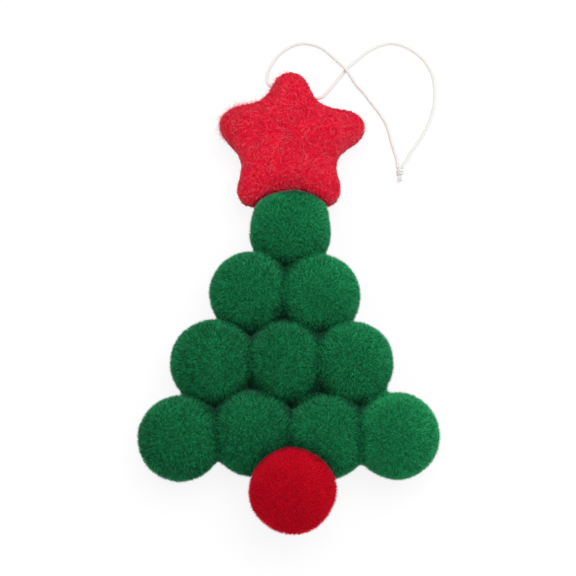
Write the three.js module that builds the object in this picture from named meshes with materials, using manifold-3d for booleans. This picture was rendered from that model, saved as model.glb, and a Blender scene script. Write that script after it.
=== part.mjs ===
// Felt Christmas tree ornament, in millimetres.
// Ten green felt balls are glued together in four rows, with a red ball in front as the trunk,
// a padded red star on top and a thin white cord that is threaded through the star and knotted.
// The ornament lies on its back: +Z comes out of its front, +Y points to the star, and the
// origin is on the surface under the middle of the felt.
import * as THREE from 'three';
import * as BufferGeometryUtils from 'three/addons/utils/BufferGeometryUtils.js';
import Module from 'manifold-3d';

const wasm = await Module();
wasm.setup();

// Felt balls
const BALL_DIAMETER = 20.1;
const REST_FLAT_DEPTH = 0.5;
const BALL_SEGMENTS = 20;
const BALL_RINGS = 14;

// Each row from the top: how far neighbours are pressed into each other (squeeze), how far the row
// is pressed into the row above (nestle), how far it is shifted sideways, and for each ball how far
// it strays across and along the tree and how much larger it is, as hand-rolled balls are.
const ROWS = [
  { squeeze: 0.0, nestle: 0.0, shift: 0.5, balls: [[0.0, 0.0, -0.4]] },
  { squeeze: 3.9, nestle: 2.3, shift: -0.9, balls: [[0.0, 0.3, 0.0], [0.0, -0.3, 0.0]] },
  { squeeze: 3.9, nestle: 1.5, shift: -1.1, balls: [[-0.4, 0.0, 0.4], [0.8, 0.0, 0.1], [-0.3, -0.1, 0.1]] },
  {
    squeeze: 3.3, nestle: 0.7, shift: 0.0,
    balls: [[0.0, -0.6, 0.0], [0.0, 0.7, -0.1], [0.4, -0.2, 0.0], [0.0, 0.0, 0.2]],
  },
];

// The trunk ball leans on the two inner balls of the last row, raised towards the front
const TRUNK_RAISE = 6.5;
const TRUNK_SQUEEZE = 2.5;
const TRUNK_SHIFT = 0.7;

// Hot-melt glue, one pressed dab at each contact
const GLUE_RADIUS = 3.0;
const GLUE_THICKNESS = 0.5;
const GLUE_CLEARANCE = 0.12;
const GLUE_SEGMENTS = 10;

// Padded star: how far its arm tips, and the notches between them, lie from its middle. Each tip and notch,
// from the right arm anticlockwise, is given as its angle and how much further out it lies on this star.
const STAR_REACH = 19.0;
const STAR_WAIST = 13.3;
const STAR_TIPS = [[15, 0.0], [91, -0.2], [161, -0.1], [233, 0.7], [303, 0.0]];
const STAR_NOTCHES = [[54, -0.3], [122, 0.7], [199, 0.6], [268, 1.0], [340, -0.7]];
const SEAT_NOTCH = STAR_NOTCHES[3];
// The blunt end of an arm: half its width, and how far it is set back from the tip
const STAR_TIP_HALF_WIDTH = 1.8;
const STAR_TIP_SETBACK = 0.2;
const STAR_THICKNESS = 13.0;
const STAR_LIFT = 0.3;
const STAR_SHIFT = 0.3;
const STAR_SEAT_DEPTH = 1.2;
const STAR_CROWN_POWER = 4;
const STAR_OUTLINE_POINTS = 60;
const STAR_RINGS = [1.0, 0.96, 0.88, 0.75, 0.55, 0.3];

// Cord and the hole through the star's top arm that it is threaded through. The hole's middle is
// measured from the middle of the star, and its height from the surface.
const CORD_DIAMETER = 0.9;
const CORD_SIDES = 8;
const CORD_STEP = 1.8;
const CORD_END_GAP = 0.3;
const HOLE_CLEARANCE = 0.3;
const HOLE_LENGTH = 9.8;
const HOLE_MIDDLE = [0.4, 14.7];
const HOLE_HEIGHT = 3.8;
const HOLE_TILT = -15.0;
const HOLE_OVERRUN = 6.0;
const HOLE_SIDES = 10;

// The free stretches of the cord from the hole to the knot, as [x, y, z] from the middle of the star
// and up from the surface. The left strand passes over the right one.
const LEFT_STRAND = [
  [-5.5, 16.6, 3.6], [-6.0, 17.4, 3.3], [-6.2, 18.4, 2.9], [-6.1, 19.9, 2.3], [-5.8, 21.3, 1.7],
  [-5.0, 23.4, 1.0], [-3.5, 25.8, 0.6], [-1.0, 28.0, 0.5], [1.0, 29.0, 0.5], [2.9, 29.4, 0.5],
  [5.3, 29.1, 0.5], [7.8, 28.0, 0.6], [10.4, 25.6, 1.0], [12.2, 23.6, 1.5], [13.9, 21.7, 1.8],
  [15.2, 19.7, 1.55], [16.4, 17.9, 1.15], [18.2, 15.9, 0.75], [19.8, 13.8, 0.5], [21.3, 11.7, 0.5],
  [22.8, 9.5, 0.5], [23.9, 7.4, 0.5], [24.6, 5.2, 0.5], [25.1, 3.0, 0.5], [25.7, 0.7, 0.5],
  [26.3, -1.5, 0.7], [26.6, -3.6, 1.1], [26.6, -4.5, 1.25],
];
const RIGHT_STRAND = [
  [6.2, 13.1, 3.75], [7.2, 13.3, 3.5], [8.1, 14.0, 3.1], [9.0, 15.3, 2.4], [10.8, 17.9, 1.2],
  [12.5, 20.3, 0.6], [14.3, 22.5, 0.5], [16.8, 24.8, 0.5], [19.1, 26.8, 0.5], [21.2, 28.1, 0.5],
  [23.6, 29.1, 0.5], [25.9, 29.4, 0.5], [28.1, 28.9, 0.5], [30.0, 28.0, 0.5], [33.1, 25.6, 0.5],
  [34.6, 23.6, 0.5], [35.7, 21.3, 0.5], [36.2, 19.3, 0.5], [36.4, 17.1, 0.5], [36.4, 15.0, 0.5],
  [36.2, 12.7, 0.5], [35.7, 10.6, 0.5], [35.0, 8.4, 0.5], [34.1, 6.3, 0.5], [32.9, 4.1, 0.5],
  [31.5, 2.0, 0.5], [30.1, -0.1, 0.5], [28.9, -2.3, 0.75], [27.9, -3.8, 1.1], [27.7, -4.5, 1.25],
];

// Knot: its outline as [radius, distance below its top], its top and its tilt down to the surface
const KNOT_PROFILE = [
  [0, 0], [1.0, 0], [1.15, 0.5], [1.1, 1.1], [0.75, 1.7], [0.45, 2.1], [0.4, 3.4], [0, 3.4],
];
const KNOT_TOP = [27.15, -4.8, 1.35];
const KNOT_TILT = 10;
const KNOT_SEGMENTS = 12;

const GREEN_FELT = { color: 0x0f5c35, roughness: 0.95, metalness: 0 };
const RED_FELT = { color: 0xa80a1c, roughness: 0.95, metalness: 0 };
const STAR_FELT = { color: 0xd01c33, roughness: 0.95, metalness: 0 };
const GLUE = { color: 0xd8cfb4, roughness: 0.35, metalness: 0 };
const CORD = { color: 0xefeeea, roughness: 0.8, metalness: 0 };

const radians = THREE.MathUtils.degToRad;
const glueGap = GLUE_THICKNESS + 2 * GLUE_CLEARANCE;

// A named mesh with its own material
function piece(name, geometry, finish) {
  const mesh = new THREE.Mesh(geometry, new THREE.MeshStandardMaterial(finish));
  mesh.name = name;
  return mesh;
}

// The exact solid of a closed three.js geometry
function solidOf(geometry) {
  const bare = geometry.clone();
  bare.deleteAttribute('normal');
  bare.deleteAttribute('uv');
  const merged = BufferGeometryUtils.mergeVertices(bare);
  const mesh = new wasm.Mesh({
    numProp: 3,
    vertProperties: Float32Array.from(merged.attributes.position.array),
    triVerts: Uint32Array.from(merged.index.array),
  });
  return new wasm.Manifold(mesh);
}

// The three.js geometry of an exact solid
function geometryOf(solid) {
  const mesh = solid.getMesh();
  const geometry = new THREE.BufferGeometry();
  geometry.setAttribute('position', new THREE.BufferAttribute(mesh.vertProperties, 3));
  geometry.setIndex(new THREE.BufferAttribute(mesh.triVerts, 1));
  geometry.computeVertexNormals();
  return geometry;
}

// A sphere with its poles at the front and the back
function sphere(radius) {
  const geometry = new THREE.SphereGeometry(radius, BALL_SEGMENTS, BALL_RINGS);
  return geometry.rotateX(Math.PI / 2);
}

// The block that lies beyond a plane at this distance from the middle of a ball
function blockBeyond(normal, distance, size) {
  const block = new THREE.BoxGeometry(size, size, size);
  block.translate(0, 0, distance + size / 2);
  const turn = new THREE.Quaternion().setFromUnitVectors(new THREE.Vector3(0, 0, 1), normal);
  return solidOf(block.applyQuaternion(turn));
}

// Where the balls lie
function layBalls() {
  const rows = [];
  let along = 0;
  ROWS.forEach((row, rowIndex) => {
    const pitch = BALL_DIAMETER - row.squeeze;
    if (rowIndex > 0) {
      along -= Math.sqrt((BALL_DIAMETER - row.nestle) ** 2 - (pitch / 2) ** 2);
    }
    rows.push(row.balls.map(([strayAcross, strayAlong, larger], place) => {
      const radius = (BALL_DIAMETER + larger) / 2;
      const across = row.shift + (place - (row.balls.length - 1) / 2) * pitch;
      return {
        name: `green_ball_row${rowIndex + 1}_${place + 1}`,
        tag: `row${rowIndex + 1}_${place + 1}`,
        radius,
        middle: new THREE.Vector3(across + strayAcross, along + strayAlong, radius - REST_FLAT_DEPTH),
        rests: true,
        finish: GREEN_FELT,
        faces: [],
      };
    }));
  });
  return rows;
}

// The trunk ball, held in front of the two inner balls of the last row
function layTrunk(lastRow) {
  const [left, right] = [lastRow[lastRow.length / 2 - 1], lastRow[lastRow.length / 2]];
  const radius = BALL_DIAMETER / 2;
  const reach = BALL_DIAMETER - TRUNK_SQUEEZE;
  const halfGap = left.middle.distanceTo(right.middle) / 2;
  const drop = Math.sqrt(reach ** 2 - halfGap ** 2 - TRUNK_RAISE ** 2);
  const middle = left.middle.clone().add(right.middle).multiplyScalar(0.5);
  middle.add(new THREE.Vector3(TRUNK_SHIFT, -drop, TRUNK_RAISE));
  return { name: 'trunk_ball', tag: 'trunk', radius, middle, rests: false, finish: RED_FELT, faces: [] };
}

// The pairs of balls that are glued together: neighbours in a row, each ball with the two below it,
// and the trunk with the two balls behind it
function gluedPairs(rows, trunk) {
  const pairs = [];
  rows.forEach((row, rowIndex) => {
    const below = rows[rowIndex + 1];
    row.forEach((ball, place) => {
      if (place > 0) {
        pairs.push([row[place - 1], ball]);
      }
      if (below) {
        pairs.push([ball, below[place]], [ball, below[place + 1]]);
      }
    });
  });
  const lastRow = rows[rows.length - 1];
  pairs.push([trunk, lastRow[lastRow.length / 2 - 1]], [trunk, lastRow[lastRow.length / 2]]);
  return pairs;
}

// The pressed dab of glue between two balls, and the flats that it leaves on them
function glueBetween(first, second) {
  const apart = second.middle.clone().sub(first.middle);
  const distance = apart.length();
  const normal = apart.normalize();
  const toPlane = (distance ** 2 + first.radius ** 2 - second.radius ** 2) / (2 * distance);
  first.faces.push({ normal: normal.clone(), distance: toPlane - glueGap / 2 });
  second.faces.push({ normal: normal.clone().negate(), distance: distance - toPlane - glueGap / 2 });
  const half = GLUE_THICKNESS / 2;
  const flat = GLUE_RADIUS - half;
  const profile = [[0, -half], [flat, -half], [GLUE_RADIUS, 0], [flat, half], [0, half]];
  const points = profile.map(([radius, height]) => new THREE.Vector2(radius, height));
  const dab = piece(`glue_${first.tag}_${second.tag}`, new THREE.LatheGeometry(points, GLUE_SEGMENTS), GLUE);
  dab.position.copy(first.middle).addScaledVector(normal, toPlane);
  dab.quaternion.setFromUnitVectors(new THREE.Vector3(0, 1, 0), normal);
  return dab;
}

// A felt ball with its pressed flats and, where it lies on the surface, its rest flat
function feltBall(ball) {
  const faces = [...ball.faces];
  if (ball.rests) {
    faces.push({ normal: new THREE.Vector3(0, 0, -1), distance: ball.radius - REST_FLAT_DEPTH });
  }
  let solid = solidOf(sphere(ball.radius));
  const blockSize = 3 * ball.radius;
  for (const face of faces) {
    solid = solid.subtract(blockBeyond(face.normal, face.distance, blockSize));
  }
  const mesh = piece(ball.name, geometryOf(solid), ball.finish);
  mesh.position.copy(ball.middle);
  return mesh;
}

// The star's outline as a smooth closed curve round its blunt tips and through its notches
function starOutline() {
  const points = [];
  const across = new THREE.Vector3(0, STAR_TIP_HALF_WIDTH, 0);
  const corner = (angle, reach, side) => new THREE.Vector3(reach, 0, 0)
    .addScaledVector(across, side)
    .applyAxisAngle(new THREE.Vector3(0, 0, 1), radians(angle));
  STAR_TIPS.forEach(([angle, further], arm) => {
    const reach = STAR_REACH + further - STAR_TIP_SETBACK;
    const [notchAngle, notchFurther] = STAR_NOTCHES[arm];
    points.push(corner(angle, reach, -1), corner(angle, reach, 1));
    points.push(corner(notchAngle, STAR_WAIST + notchFurther, 0));
  });
  return new THREE.CatmullRomCurve3(points, true).getSpacedPoints(STAR_OUTLINE_POINTS).slice(0, -1);
}

// The padded star: rings of the outline that draw in towards a crown at the front and at the back
function paddedStar() {
  const outline = starOutline();
  const count = outline.length;
  const half = STAR_THICKNESS / 2;
  const levels = [...STAR_RINGS.slice(1).reverse().map((share) => [share, 1])];
  levels.push([STAR_RINGS[0], 0], ...STAR_RINGS.slice(1).map((share) => [share, -1]));
  const vertices = [0, 0, half];
  for (const [share, side] of levels) {
    const height = side * half * Math.sqrt(1 - share ** STAR_CROWN_POWER);
    outline.forEach((point) => vertices.push(point.x * share, point.y * share, height));
  }
  vertices.push(0, 0, -half);
  const back = vertices.length / 3 - 1;
  const triangles = [];
  for (let step = 0; step < count; step += 1) {
    const next = (step + 1) % count;
    triangles.push(0, 1 + step, 1 + next);
    for (let level = 0; level < levels.length - 1; level += 1) {
      const upper = 1 + level * count;
      const lower = upper + count;
      triangles.push(upper + step, lower + step, lower + next, upper + step, lower + next, upper + next);
    }
    const last = 1 + (levels.length - 1) * count;
    triangles.push(last + step, back, last + next);
  }
  const geometry = new THREE.BufferGeometry();
  geometry.setAttribute('position', new THREE.Float32BufferAttribute(vertices, 3));
  geometry.setIndex(triangles);
  return geometry;
}

// The straight hole through the star's top arm, as a place and a direction from left to right
function cordHole() {
  const direction = new THREE.Vector3(Math.cos(radians(HOLE_TILT)), Math.sin(radians(HOLE_TILT)), 0);
  return { middle: new THREE.Vector3(HOLE_MIDDLE[0], HOLE_MIDDLE[1], HOLE_HEIGHT), direction };
}

// The star, hollowed where the top ball presses into it and drilled for the cord
function starPiece(topBall, starMiddle) {
  const seat = sphere(topBall.radius + glueGap);
  seat.translate(...topBall.middle.clone().sub(starMiddle).toArray());
  const hole = cordHole();
  const radius = CORD_DIAMETER / 2 + HOLE_CLEARANCE;
  const drill = new THREE.CylinderGeometry(radius, radius, HOLE_LENGTH + HOLE_OVERRUN, HOLE_SIDES);
  const turn = new THREE.Quaternion().setFromUnitVectors(new THREE.Vector3(0, 1, 0), hole.direction);
  drill.applyQuaternion(turn).translate(hole.middle.x, hole.middle.y, hole.middle.z - starMiddle.z);
  const solid = solidOf(paddedStar()).subtract(solidOf(seat)).subtract(solidOf(drill));
  const mesh = piece('star', geometryOf(solid), STAR_FELT);
  mesh.position.copy(starMiddle);
  return mesh;
}

// The dab of glue between the top ball and the star, bent round the ball
function starGlue(topBall, starMiddle) {
  const inner = topBall.radius + GLUE_CLEARANCE;
  const outer = inner + GLUE_THICKNESS;
  const rise = starMiddle.z - topBall.middle.z;
  const direction = new THREE.Vector3(0, Math.sqrt(outer ** 2 - rise ** 2), rise).normalize();
  const core = new THREE.CylinderGeometry(GLUE_RADIUS, GLUE_RADIUS, outer, 2 * GLUE_SEGMENTS);
  core.translate(0, outer / 2 + inner / 2, 0);
  core.applyQuaternion(new THREE.Quaternion().setFromUnitVectors(new THREE.Vector3(0, 1, 0), direction));
  const shell = solidOf(sphere(outer)).subtract(solidOf(sphere(inner)));
  const mesh = piece('glue_star_row1_1', geometryOf(shell.intersect(solidOf(core))), GLUE);
  mesh.position.copy(topBall.middle);
  return mesh;
}

// A stretch of cord along a smooth curve through these points
function cordStretch(name, points) {
  const curve = new THREE.CatmullRomCurve3(points);
  const section = new THREE.Shape();
  for (let side = 0; side < CORD_SIDES; side += 1) {
    const angle = (side / CORD_SIDES) * 2 * Math.PI;
    const x = (CORD_DIAMETER / 2) * Math.cos(angle);
    const y = (CORD_DIAMETER / 2) * Math.sin(angle);
    if (side === 0) {
      section.moveTo(x, y);
    } else {
      section.lineTo(x, y);
    }
  }
  section.closePath();
  const steps = Math.ceil(curve.getLength() / CORD_STEP);
  const geometry = new THREE.ExtrudeGeometry(section, { steps, extrudePath: curve, bevelEnabled: false });
  return piece(name, geometry, CORD);
}

// The hanging loop: the stretch inside the star, the two strands and the knot that joins them
function hangingLoop() {
  const loop = new THREE.Group();
  const hole = cordHole();
  const along = (distance) => hole.middle.clone().addScaledVector(hole.direction, distance);
  const mouth = HOLE_LENGTH / 2;
  const strand = (start, route) => [start, ...route.map((point) => new THREE.Vector3(...point))];
  loop.add(cordStretch('cord_through_star', [along(-mouth), along(0), along(mouth)]));
  loop.add(cordStretch('cord_left_strand', strand(along(-mouth - CORD_END_GAP), LEFT_STRAND)));
  loop.add(cordStretch('cord_right_strand', strand(along(mouth + CORD_END_GAP), RIGHT_STRAND)));
  const outline = KNOT_PROFILE.map(([radius, below]) => new THREE.Vector2(radius, -below)).reverse();
  const knot = piece('cord_knot', new THREE.LatheGeometry(outline, KNOT_SEGMENTS), CORD);
  knot.position.set(...KNOT_TOP);
  knot.rotation.x = radians(KNOT_TILT);
  loop.add(knot);
  return loop;
}

// The whole ornament
function buildOrnament() {
  const rows = layBalls();
  const trunk = layTrunk(rows[rows.length - 1]);
  const topBall = rows[0][0];
  const starRise = topBall.radius + glueGap + STAR_WAIST + SEAT_NOTCH[1] - STAR_SEAT_DEPTH;
  const starMiddle = new THREE.Vector3(
    topBall.middle.x + STAR_SHIFT, topBall.middle.y + starRise, STAR_LIFT + STAR_THICKNESS / 2,
  );
  const felt = new THREE.Group();
  const glue = new THREE.Group();
  for (const [first, second] of gluedPairs(rows, trunk)) {
    glue.add(glueBetween(first, second));
  }
  glue.add(starGlue(topBall, starMiddle));
  for (const ball of [...rows.flat(), trunk]) {
    felt.add(feltBall(ball));
  }
  felt.add(starPiece(topBall, starMiddle));
  const loop = hangingLoop();
  loop.position.set(starMiddle.x, starMiddle.y, 0);
  const ornament = new THREE.Group();
  ornament.add(felt, glue, loop);
  const middle = new THREE.Box3().setFromObject(felt).getCenter(new THREE.Vector3());
  ornament.position.set(-middle.x, -middle.y, 0);
  return ornament;
}

export default buildOrnament();
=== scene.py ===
"""Felt Christmas tree ornament: pressed felt balls, a padded felt star, glue dabs and a hanging cord."""

import math
from collections import namedtuple

import bmesh
import bpy
import numpy as np
from bpy.props import FloatProperty, FloatVectorProperty, PointerProperty
from mathutils import Matrix, Vector, noise


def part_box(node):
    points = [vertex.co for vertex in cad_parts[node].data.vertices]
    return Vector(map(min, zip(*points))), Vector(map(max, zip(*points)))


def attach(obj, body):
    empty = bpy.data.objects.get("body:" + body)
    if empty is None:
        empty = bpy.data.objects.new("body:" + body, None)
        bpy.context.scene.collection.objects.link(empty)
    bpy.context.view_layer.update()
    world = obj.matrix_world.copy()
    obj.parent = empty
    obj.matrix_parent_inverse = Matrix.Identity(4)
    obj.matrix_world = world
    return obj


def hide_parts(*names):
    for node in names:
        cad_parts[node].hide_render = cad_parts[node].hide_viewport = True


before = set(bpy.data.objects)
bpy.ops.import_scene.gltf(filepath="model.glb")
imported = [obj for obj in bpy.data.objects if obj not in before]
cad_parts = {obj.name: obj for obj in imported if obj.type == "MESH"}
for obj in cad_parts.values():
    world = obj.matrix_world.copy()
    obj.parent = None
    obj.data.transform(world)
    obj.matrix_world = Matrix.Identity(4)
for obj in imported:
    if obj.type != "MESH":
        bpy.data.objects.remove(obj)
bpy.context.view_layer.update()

bl_info = {
    "name": "Felt Tree Ornament",
    "version": (1, 0, 0),
    "blender": (4, 5, 0),
    "location": "View3D > Sidebar > Felt Tree",
    "description": "Makes the felt, glue and cord of a hanging tree ornament",
    "category": "Object",
}

MM = 0.001
TREE = "tree"
LOOP = "hanging_loop"

# Balls: the flat they rest on, the felt pressed against a neighbour, and the felt in creases and pits
REST_FLAT_DEPTH = 0.5 * MM
REST_CLEARANCE = 0.05 * MM
PRESS_CLEARANCE = 0.03 * MM
PRESS_ROUNDING = 0.15 * MM
PRESS_REACH = 4.0 * MM
PRESS_LEAST_LEAN = 0.15
PRESS_WAVE = 0.35 * MM
PRESS_WAVE_LENGTH = 3.5 * MM
CREASE_FILL = 2.0 * MM
PIT_FILL = 4.0 * MM
PIT_WIDTH = 4.5 * MM
PIT_BACK = (-0.1, 0.3)
FILL_STEPS = 5
PLUG_GAP = 0.3 * MM
PLUG_LEAN = (0.9, 0.96)
BALL_SUBDIVISIONS = 6

# Lumps: their widths with their shares of the height, and how far apart two balls' lumps are taken
LUMP_SIZES = [(8.0 * MM, 1.0), (2.6 * MM, 0.42), (0.95 * MM, 0.22)]
LUMP_SHIFT = Vector((0.31, 0.17, 0.53))

# Pile: how deep it sits in a ball, and where it begins and is full beside a neighbour and above the floor
PILE_DEPTH = 0.62
TRUNK_PILE_DEPTH = 0.85
PILE_START = -0.6 * MM
PILE_RISE = 0.5 * MM
TRUNK_PILE_RISE = 2.6 * MM
PILE_FLOOR_RISE = 1.4

# Painted shade: how far a neighbour, a pit and the star's seat darken the felt, and how strongly
SHADE_REACH = 2.5 * MM
TRUNK_SHADE_REACH = 7.0 * MM
PIT_SHADE = 3.2
PIT_SHADE_REACH = 5.5 * MM
BASE_SHADE = 0.2
STAR_SHADE_REACH = 0.7 * MM
# The star's crown is a little darker, and its side rims are painted paler as a painted sheen
STAR_CROWN_SHADE = 0.05
STAR_CROWN_REACH = (3.0 * MM, 12.0 * MM)
STAR_RIM_PAINTED_SHEEN = 0.3
STAR_RIM_REACH = 3.0 * MM
STAR_RIM_LEAN = (0.3, 0.95)
STAR_SEAT_RADIUS = 16.0 * MM
STAR_SEAT_SHADE = 6.0
STAR_SEAT_REACH = 4.5 * MM
# How much paler each ball is
BALL_TONES = {
    "green_ball_row1_1": 0.08, "green_ball_row2_2": 0.1, "green_ball_row3_1": -0.06,
    "green_ball_row3_2": -0.06, "green_ball_row3_3": 0.05, "green_ball_row4_1": -0.1,
    "green_ball_row4_2": -0.08, "green_ball_row4_4": 0.16,
}

# The top ball's shoulders: how far they bulge, and how near to the star's way they are
SHOULDER_RISE = 0.75 * MM
SHOULDER_LEAN = 0.6
SHOULDER_SPREAD = 0.34

# Felt: how fine its flecks, its patches and its grain are, per metre, and where its tones lie on their ramp
FLECK_SCALE = 2000.0
PATCH_SCALE = 150.0
GRAIN_SCALE = 6000.0
TONE_PLACES = (0.1, 0.42, 0.72, 1.0)
HAZE_SHARES = (0.0, 0.0, 0.2, 1.0)

# Fibres: what is set for each kind, and the rings of a tuft and of a strand as height, radius and bend
FIBRE_SIZES = ("Density", "Length", "Width")
FIBRE_LAY = ("Lean", "Spread", "Swirl", "Chaos")
FIBRE_TONES = ("Tone", "Flecks", "Patches", "Vary", "Shade")
TUFT_RINGS = [(-0.25, 0.5, 0.0), (1.0, 0.0, 0.3)]
STRAND_RINGS = [(-0.05, 0.5, 0.0), (0.5, 0.5, 1.6), (1.0, 0.0, 0.3)]

# How unequal in length fibres are, and how the pile of the balls lies
FIBRE_LENGTHS = (0.55, 1.3)
BALL_PILE_LAY = (0.3, 0.4, 120.0, 1.0)

# The bake map: the strip at its foot for fibres, and how much of its cell a chart fills, from the middle
FIBRE_STRIP = 0.16
CHART_INSET = 0.47
CHART_LIMIT = 1.03
CHART_LEAST_DEPTH = 0.2
STRIP_TONES = (0.01, 0.96)
STRIP_HEIGHTS = (0.06, 0.85)
STRIP_SIDE = 0.004

# Glue dabs and the hollows for them in pressed felt, and the star's seat on the top ball
DAB_RADIUS = 3.0 * MM
DAB_LEAST_RADIUS = 1.2 * MM
DAB_SHARE = 0.7
DAB_HALF_THICKNESS = 0.25 * MM
DAB_FULLNESS = 0.86
DAB_RIM_WAVE = 0.2
DAB_FACE_WAVE = 0.12
DAB_HOLLOW = 0.33 * MM
DAB_HOLLOW_EDGE = 0.8 * MM
SEAT_EDGE = 5.0 * MM
SEAT_ROUNDING = 0.5 * MM
SEAT_ROOM = 0.25 * MM

# Star outline: each tip and notch as its angle and how much further out it lies
STAR_REACH = 19.0 * MM
STAR_WAIST = 13.3 * MM
STAR_TIPS = [(15, 0.0), (91, -0.2), (161, -0.1), (233, 0.7), (303, 0.0)]
STAR_NOTCHES = [(54, -0.3), (122, 0.7), (199, 0.6), (268, 1.0), (340, -0.7)]
STAR_TIP_HALF_WIDTH = 1.8 * MM
STAR_TIP_SETBACK = 0.2 * MM
STAR_RINGS = [0.985, 0.96, 0.92, 0.86, 0.78, 0.68, 0.56, 0.42, 0.26, 0.1]
STAR_POINTS = 180
STAR_VOXEL = 0.4 * MM
MERGE_DISTANCE = 0.001 * MM
STAR_FLOOR_ROOM = 0.4
STAR_PILE_ROOM = (0.1 * MM, 0.9 * MM)
WISP_WAY = Vector((-0.75, 0.66, 0.0))
WISP_REACH = (9.0 * MM, 15.0 * MM)

# Cord and the straight hole in the star's top arm, from the star's middle and up from the surface
CORD_DIAMETER = 0.9 * MM
CORD_END_GAP = 0.3 * MM
HOLE_LENGTH = 9.8 * MM
HOLE_MIDDLE = Vector((0.4, 14.7, 3.8)) * MM
HOLE_TILT = math.radians(-15.0)
HOLE_RADIUS = CORD_DIAMETER * 0.62
PLY_SHARE = 0.3
PLY_PITCH = 2.6
ROUTE_STEP = 0.2 * MM

# Routes of the free strands from the hole to the knot, in mm from the star's middle and up from the surface
LEFT_STRAND = [
    (-5.5, 16.6, 3.6), (-6.0, 17.4, 3.3), (-6.2, 18.4, 2.9), (-6.1, 19.9, 2.3), (-5.8, 21.3, 1.7),
    (-5.0, 23.4, 1.0), (-3.5, 25.8, 0.6), (-1.0, 28.0, 0.5), (1.0, 29.0, 0.5), (2.9, 29.4, 0.5),
    (5.3, 29.1, 0.5), (7.8, 28.0, 0.6), (10.4, 25.6, 1.0), (12.2, 23.6, 1.5), (13.9, 21.7, 1.8),
    (15.2, 19.7, 1.55), (16.4, 17.9, 1.15), (18.2, 15.9, 0.75), (19.8, 13.8, 0.5), (21.3, 11.7, 0.5),
    (22.8, 9.5, 0.5), (23.9, 7.4, 0.5), (24.6, 5.2, 0.5), (25.1, 3.0, 0.5), (25.7, 0.7, 0.5),
    (26.3, -1.5, 0.7), (26.6, -3.6, 1.1), (26.6, -4.5, 1.25),
]
RIGHT_STRAND = [
    (6.2, 13.1, 3.75), (7.2, 13.3, 3.5), (8.1, 14.0, 3.1), (9.0, 15.3, 2.4), (10.8, 17.9, 1.2),
    (12.5, 20.3, 0.6), (14.3, 22.5, 0.5), (16.8, 24.8, 0.5), (19.1, 26.8, 0.5), (21.2, 28.1, 0.5),
    (23.6, 29.1, 0.5), (25.9, 29.4, 0.5), (28.1, 28.9, 0.5), (30.0, 28.0, 0.5), (33.1, 25.6, 0.5),
    (34.6, 23.6, 0.5), (35.7, 21.3, 0.5), (36.2, 19.3, 0.5), (36.4, 17.1, 0.5), (36.4, 15.0, 0.5),
    (36.2, 12.7, 0.5), (35.7, 10.6, 0.5), (35.0, 8.4, 0.5), (34.1, 6.3, 0.5), (32.9, 4.1, 0.5),
    (31.5, 2.0, 0.5), (30.1, -0.1, 0.5), (28.9, -2.3, 0.75), (27.9, -3.8, 1.1), (27.7, -4.5, 1.25),
]
KNOT_TOP = Vector((27.15, -4.8, 1.35)) * MM
KNOT_TILT = math.radians(10)
KNOT_DIAMETER = 0.72 * MM
KNOT_ROUTE_STEP = 0.12 * MM

# The knot in mm: its wrap, as a radius, a start, a length and turns, and the tails below it
WRAP_RADIUS = 0.62
WRAP_START = -0.35
WRAP_LENGTH = 1.1
WRAP_TURNS = 1.7
WRAP_STEPS = 30
TAILS = [
    [(-0.42, 0.1, 0.0), (-0.3, -0.6, 0.1), (-0.22, -1.5, 0.05), (-0.3, -2.4, -0.05), (-0.42, -3.3, -0.15)],
    [(0.42, 0.1, 0.0), (0.3, -0.6, -0.1), (0.22, -1.5, -0.05), (0.2, -2.3, 0.1), (0.3, -3.0, 0.05)],
]

# The middle of the picture, at the height of the balls' middles, and the lamp and the floor
PICTURE_MIDDLE = Vector((-0.12, 1.38, 9.8)) * MM
SENSOR_WIDTH = 36.0
KEY_PLACE = (0.13, 0.14, 0.66)
KEY_SIZE = 0.5
FLOOR_SIZE = 2.0
FLOOR_WHITE = (0.92, 0.92, 0.92, 1.0)
FLOOR_GLOW = 0.86

Ball = namedtuple("Ball", "name middle radius rests")


def srgb(red, green, blue):
    """A colour written as 0 to 255 per channel, as the light it reflects"""
    shares = [channel / 255 for channel in (red, green, blue)]
    return tuple(s / 12.92 if s <= 0.04045 else ((s + 0.055) / 1.055) ** 2.4 for s in shares)


# Reading the frame


def top_of(node):
    """The highest point of a CAD node, which lies above its middle on a ball and on the star"""
    return max((vert.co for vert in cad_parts[node].data.vertices), key=lambda place: place.z).copy()


def read_ball(name):
    """Where a ball lies and how large it is"""
    low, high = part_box(name)
    rests = low.z < REST_FLAT_DEPTH
    radius = (high.z - low.z + (REST_FLAT_DEPTH if rests else 0.0)) / 2
    top = top_of(name)
    return Ball(name, Vector((top.x, top.y, high.z - radius)), radius, rests)


GREEN_BALLS = [read_ball(name) for name in sorted(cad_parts) if name.startswith("green_ball_")]
TRUNK = read_ball("trunk_ball")
BALLS = {ball.name: ball for ball in [*GREEN_BALLS, TRUNK]}
TOP_BALL = BALLS["green_ball_row1_1"]
STAR_LOW, STAR_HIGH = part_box("star")
STAR_TOP = top_of("star")
STAR_MIDDLE = Vector((STAR_TOP.x, STAR_TOP.y, (STAR_LOW.z + STAR_HIGH.z) / 2))
STAR_HALF_THICKNESS = (STAR_HIGH.z - STAR_LOW.z) / 2
LOOP_ORIGIN = Vector((STAR_MIDDLE.x, STAR_MIDDLE.y, 0.0))
SEAT_WAY = (STAR_MIDDLE - TOP_BALL.middle).normalized()
DAB_LOW, DAB_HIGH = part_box("glue_star_row1_1")
STAR_DAB_WAY = ((DAB_LOW + DAB_HIGH) / 2 - TOP_BALL.middle).normalized()


# Nodes and finishes


def set_inputs(tree, node, inputs):
    """Sets or links a node's inputs by name or number"""
    for key, value in inputs.items():
        if isinstance(value, bpy.types.NodeSocket):
            tree.links.new(value, node.inputs[key])
        else:
            node.inputs[key].default_value = value


def place_node(tree, kind, settings, inputs):
    """Adds a node with these settings and inputs"""
    node = tree.nodes.new(kind)
    for name, value in settings.items():
        setattr(node, name, value)
    set_inputs(tree, node, inputs)
    return node


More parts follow.
